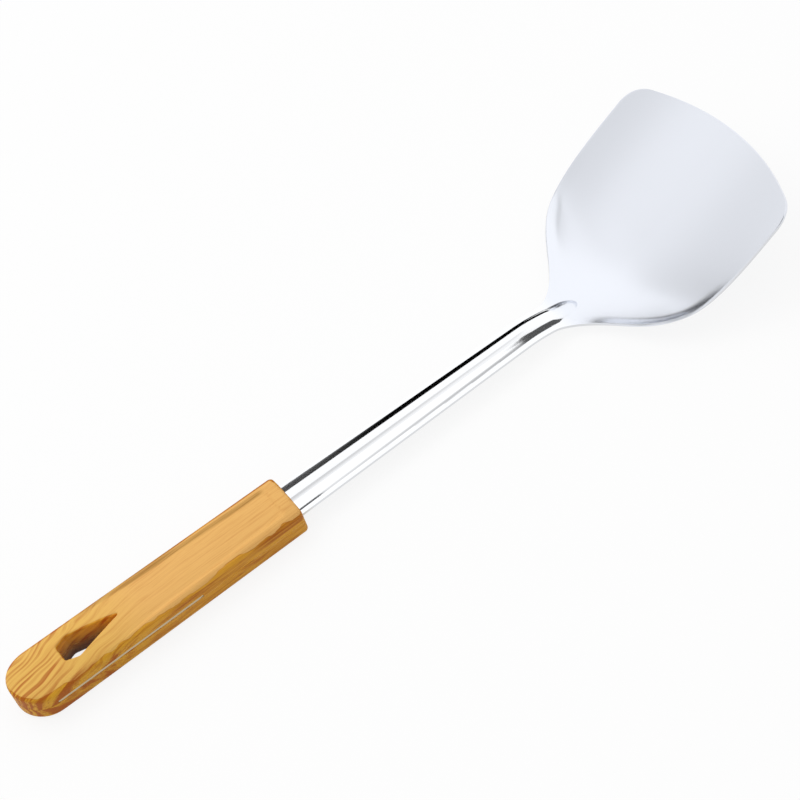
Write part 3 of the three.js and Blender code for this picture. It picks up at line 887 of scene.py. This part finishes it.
# %% Satin stainless sheet and plated screws
look, where = fresh(steel)
x = split(where)[0]
satin = remap(x, from_butt(257), from_butt(265), 0, 1, True)
brush = use_group(brushed, where, Scale=1.0, Evenness=0.35)["Value"]
touch = use_group(blotches, where, Size=35.0)["Value"]
feed(look["Metallic"], 1.0)
feed(look["Roughness"],
     remap(brush, 0.3, 0.7, 0.08, 0.1) + satin * remap(touch, 0, 1, 0.13, 0.15))
face_colour = mix_colour(satin, (0.86, 0.87, 0.89, 1), (0.785, 0.81, 0.87, 1))
# Upright cut edges take a duller grey. Inside the handle's seam the edge is painted darker and
# browner: painted shade with a painted reflection of the wood around it.
in_seam = remap(x, from_butt(125), from_butt(135), 1, 0)
edge_grey_and_seam_shade = mix_colour(in_seam, (0.7, 0.71, 0.73, 1), (0.46, 0.37, 0.24, 1))
sheared = remap(levelness(steel.node_tree), 0.2, 0.45, 1, 0, True)
feed(look["Base Color"], mix_colour(sheared, face_colour, edge_grey_and_seam_shade))
bump(look, brush * satin, 0.012, 0.00002)

look, where = fresh(screw_steel)
brush = use_group(brushed, where, Scale=2.0, Evenness=0.7)["Value"]
feed(look["Metallic"], 1.0)
feed(look["Base Color"], (0.55, 0.57, 0.6, 1))
feed(look["Roughness"], remap(brush, 0.3, 0.7, 0.28, 0.42))
bump(look, brush, 0.2, 0.00002)
print("metals:", steel.name, "and", screw_steel.name)

# %% [markdown]
# ## Wood
#
# Light oiled wood, sawn so that its growth rings show as long lines on the faces and sides. The
# lines run with the handle, wander a little, and swing round each other near the butt. A board is
# a slice through a trunk, so one rule in three dimensions gives the top, the sides and the hole
# their matching lines: a distance across the grain that bends slowly along it. The sides are
# painted darker than the top, partly as their own edge grain and partly as painted shade, and
# meet it in a ragged edge where the rounding cuts through rings of unequal colour. The hole is
# painted darker towards its bottom as painted shade, and the crease of the thumb facet gets a
# painted shadow line.

# %% Wood grain as a shader group, its lengths in millimetres
crease_half = 10.1
tree, given, out = group_with(
    "wood_grain", "ShaderNodeTree",
    [("Vector", "NodeSocketVector", None), ("Spacing", "NodeSocketFloat", 3.0),
     ("Contrast", "NodeSocketFloat", 0.5), ("Light", "NodeSocketColor", None),
     ("Yellow", "NodeSocketColor", None), ("Dark", "NodeSocketColor", None),
     ("Side Tint", "NodeSocketColor", None), ("Depth Share", "NodeSocketFloat", 0.5),
     ("Crease", "NodeSocketFloat", 0.0)],
    [("Color", "NodeSocketColor"), ("Height", "NodeSocketFloat"), ("Line", "NodeSocketFloat")])

# The distance across the grain, and noises that follow the grain.
x, y, z = split(stretch(given["Vector"], 1 / mm, 1 / mm, 1 / mm))
along = x - butt / mm
butt_end = remap(along, 67.22, 29.22, 0, 1, True)
sway = (noise(stretch(given["Vector"], 22, 60, 60), 1.0, 1.5) - 0.5) * (butt_end * 9.0 + 3.5)
ripple = (noise(stretch(given["Vector"], 55, 70, 70), 1.0, 1) - 0.5) * (butt_end * 6.0)
drift = calc("SMOOTH_MIN", along - 53.22, 0.0, 12.0) * 0.25
across = z * given["Depth Share"] + y - drift + (sway + ripple)
follow = join(x, across, z)
patch = noise(stretch(follow, 0.03, 0.3, 0.12), 1.0, 2)
fine = noise(stretch(follow, 0.035, 1.3, 0.6), 1.0, 3, 0.7)
fibre = noise(stretch(follow, 0.12, 3.2, 3.2), 1.0, 2, 0.6)
jagged = noise(stretch(given["Vector"], 90, 100, 20), 1.0, 2, 0.5)

# The sides, darker partly as edge grain and partly as painted shade: ragged towards the right
# hand, steady towards the left, where a painted shadow line outlines them.
steady = remap(y, 7, 9, 0, 1, True)
waves = remap(jagged, 0.4, 0.62, -0.2, 0.14)
ragged = (1.0 - steady) * waves + (steady * -0.26 + levelness(tree))
side = remap(ragged, 0.62, 0.70, 1, 0, True)
outline = side * (1.0 - side) * (steady * -1.6 + 2.2) + side * steady * 0.35
in_hole = remap(abs(y), 7, 9, 1, 0, True) * (
    remap(along, 19.22, 23.22) * remap(along, 58.22, 61.22, 1, 0))
side = side * (in_hole * -0.15 + 1.0)

# The growth rings, the lines between them and the pores.
rings = across * (across * 0.03 + 1.0) * (2 * math.pi) / given["Spacing"]
uneven = calc("SINE", rings * 0.62 + 1.3)
band = remap(uneven * 0.5 + calc("SINE", rings), -0.6, 1.0, 0, 1, True)
strong = given["Contrast"] * (butt_end * 0.8 + 0.14) * remap(patch, 0.38, 0.6, 0.3, 1.15)
strong = strong * (side * 0.7 + 1.0) * (in_hole * -0.6 + 1.0)
line = band * strong + outline + side * remap(patch, 0.47, 0.6, 0, 0.5)
line = line + (fine - 0.47) * (side * (1.0 - in_hole) * 2.2 + 1.3)
line = clamp(line + (fibre - 0.5) * 0.45)
pale = mix_colour(butt_end * 0.8, given["Light"], given["Yellow"])
colour = mix_colour(line, pale, given["Dark"])

# The facet's crease as a painted shadow line, with a darker strip beyond it; then the sides,
# partly painted shade, and the hole, painted darker towards its bottom.
share = (along - facet_back) / (facet_front - facet_back)
past_wall = y + share * facet_taper - crease_half
# Painted shade: a dark line along the foot of the facet's wall, and a darker strip just beyond
# it.
crease_shade = remap(abs(past_wall), 0.3, 1.4, remap(fine, 0.4, 0.6, 0.5, 1.0), 0, True)
darker_strip = remap(past_wall, -0.5, 0.5, 0, 0.6, True) * remap(along, 75, 90, 1, 0, True)
crease_shade = maximum(crease_shade, darker_strip) * (
    remap(along, 30, 50, 0, given["Crease"], True) * remap(along, 120, 124, 1, 0, True))
colour = mix_colour(crease_shade, colour, (0.65, 0.61, 0.47, 1), "MULTIPLY")
# The sides are multiplied by a darker tint, partly edge-grain colour and partly painted shade;
# the hole takes its own tint.
edge_grain_and_shade_tint = mix_colour(in_hole, given["Side Tint"], (1.15, 0.95, 0.28, 1))
colour = mix_colour(side, colour, edge_grain_and_shade_tint, "MULTIPLY")
# Painted shade: the hole's walls darken towards its bottom, where little light reaches.
depth = side * in_hole * remap(z, 1, 12, 1.15, 0, True)
feed(out["Color"], mix_colour(depth, colour, (0.1, 0.03, 0.005, 1)))
feed(out["Height"], fibre - line * 0.4)
feed(out["Line"], line)
grain = tree

# %% Two woods from one grain


def wood(name, spacing, depth_share, crease_shade):
    material = bpy.data.materials.new(name)
    look, where = fresh(material)
    found = use_group(grain, where, Spacing=spacing, Contrast=0.82,
                      Light=(0.77, 0.43, 0.127, 1), Yellow=(0.74, 0.445, 0.09, 1),
                      Dark=(0.45, 0.14, 0.02, 1), Side_Tint=(0.92, 0.78, 0.22, 1),
                      Depth_Share=depth_share, Crease=crease_shade)
    touch = use_group(blotches, where, Size=50.0)["Value"]
    feed(look["Base Color"], found["Color"])
    feed(look["Roughness"], found["Line"] * 0.08 + remap(touch, 0, 1, 0.42, 0.52))
    feed(look["Specular IOR Level"], 0.2)
    bump(look, found["Height"], 0.25, 0.00004)
    return material


upper_wood = wood("oiled_wood_upper", 4.8, 0.5, 1.0)
lower_wood = wood("oiled_wood_lower", 4.0, -0.6, 0.0)
for piece, material in ((blank, steel), (upper, upper_wood), (lower, lower_wood)):
    piece.data.materials.clear()
    piece.data.materials.append(material)
print("woods:", upper_wood.name, "and", lower_wood.name)

# %% [markdown]
# ## Each piece takes its place
#
# Our pieces stand in for the fixed ones and ride on the same body.

# %% Replace the fixed pieces
for piece, nodes, finish_slot in (
        (blank, ["pressed_steel"], "stainless_sheet"),
        (upper, ["handle_upper_half"], "upper_wood"),
        (lower, ["handle_lower_half"], "lower_wood"),
        (screws, ["screw_rear", "screw_middle", "screw_front"], "screw_steel")):
    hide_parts(*nodes)
    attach(piece, "root")
    print(piece.name, "stands for", nodes)

# %% [markdown]
# ## Stage and light
#
# A catalogue shot lies on a white sweep: the floor has no visible end and its shadow is almost
# gone. Metal shows what surrounds it, so a photographer builds the room in reflections. We paint
# bright and dim panels on the world for glossy rays, in degrees round the tool and down from
# overhead. Four cards stand near it, seen by glossy rays only: a black one behind the tool and
# its foot on the floor draw the dark line along the stem, a small one in front darkens the rib's
# near side, and a grey one far in front shades the blade. Everything else is lit plainly.

# %% The white sweep
floor = new_object("floor", [(-6, -6, 0), (6, -6, 0), (6, 6, 0), (-6, 6, 0)], [(0, 1, 2, 3)])
floor.location.z = -0.0002
paper = bpy.data.materials.new("white_sweep")
paper.use_nodes = True
tree = paper.node_tree
tree.nodes.clear()
matte = signal(tree, "ShaderNodeBsdfDiffuse", {"Color": (0.85, 0.85, 0.85, 1)})
glow = signal(tree, "ShaderNodeEmission", {"Color": (1, 1, 1, 1), "Strength": 1.0})
ray = signals(tree.nodes.new("ShaderNodeLightPath"))
share = maximum(ray["Is Camera Ray"] * 0.85,
                maximum(ray["Is Glossy Ray"], ray["Is Transmission Ray"]))
blend = signal(tree, "ShaderNodeMixShader", {0: share, 1: matte, 2: glow})
new_node(tree, "ShaderNodeOutputMaterial", {"Surface": blend})
floor.data.materials.append(paper)

# %% The studio walls, as the steel sees them
world = bpy.data.worlds.new("studio")
bpy.context.scene.world = world
world.use_nodes = True
tree = world.node_tree
x, y, z = split(signal(tree, "ShaderNodeTexCoord", output="Generated"))
turn = calc("ARCTAN2", y, x) * math.degrees(1)
down = calc("ARCCOSINE", z) * math.degrees(1)


def inside(value, low, high, soft):
    return (remap(value, low - soft, low + soft, 0, 1, True)
            * remap(value, high - soft, high + soft, 1, 0, True))


room = remap(y * 0.5 + x * 0.87, -0.5, 0.35, 0.82, 1.16, True)
for turn_from, turn_to, down_from, down_to, level, soft in (
        (124, 154, 22, 44, 1.06, 9), (-78, 15, -20, 17, 0.72, 8), (-92, -61, 27, 72, 1.3, 5),
        (96, 118, 46, 74, 0.9, 8), (-150, -70, 78, 100, 0.45, 6)):
    panel = inside(turn, turn_from, turn_to, soft) * inside(down, down_from, down_to, soft)
    room = (level - room) * panel + room
plain = maximum(y * 0.3 + (z * 0.7 + 0.45), 0.0)
ray = signals(tree.nodes.new("ShaderNodeLightPath"))
room = (room - plain) * ray["Is Glossy Ray"] + plain
backdrop = tree.nodes["Background"].inputs
feed(backdrop["Color"], (1, 1, 1, 1))
feed(backdrop["Strength"], maximum(room, ray["Is Camera Ray"]))
bpy.context.scene.view_settings.view_transform = "Standard"
print("world:", len(tree.nodes), "nodes")

# %% Cards round the tool, as the steel sees them


def card(name, outline, grey_left, grey_right):
    """A card whose grey changes beside the middle of the stem."""
    board = new_object(name, [(from_butt(x), y * mm, z * mm) for x, y, z in outline],
                       [tuple(range(len(outline)))])
    paint = bpy.data.materials.new(name)
    look, where = fresh(paint)
    grey = remap(split(where)[0], from_butt(150), from_butt(200), grey_left, grey_right, True)
    feed(look["Base Color"], mix_colour(grey, (0, 0, 0, 1), (1, 1, 1, 1)))
    feed(look["Roughness"], 1.0)
    feed(look["Specular IOR Level"], 0.0)
    board.data.materials.append(paint)
    board.visible_camera = board.visible_diffuse = board.visible_shadow = False
    board.visible_transmission = False


card("black_card", [(60, 100, 0), (348, 100, 0), (348, 100, 44), (330, 100, 52),
                    (300, 100, 64), (250, 100, 75), (60, 100, 75)], 0.12, 0.0)
card("black_card_foot", [(60, 14, 0), (263, 14, 0), (270, 45, 0), (276, 80, 0), (290, 100, 0),
                         (60, 100, 0)], 0.12, 0.0)
card("black_card_near", [(90, -60, 0), (180, -60, 0), (150, -60, 25), (90, -60, 30)],
     0.05, 0.05)
card("grey_card", [(330, -300, 0), (620, -300, 0), (600, -300, 240), (520, -300, 290),
                   (440, -300, 290), (400, -300, 430), (354, -300, 260), (342, -300, 180)],
     0.1, 0.1)

# %% One soft lamp
light = bpy.data.lights.new("key_light", "AREA")
light.shape, light.size, light.size_y, light.energy = "RECTANGLE", 1.2, 0.8, 6
lamp = add_object("key_light", light)
centre = Vector((-0.5, 0.9, 1.3))
aim = centre.to_track_quat("Z", "Y").to_matrix().to_4x4()
lamp.matrix_world = Matrix.Translation(centre) @ aim
lamp.visible_glossy = False
print("lights:", len(bpy.data.lights))
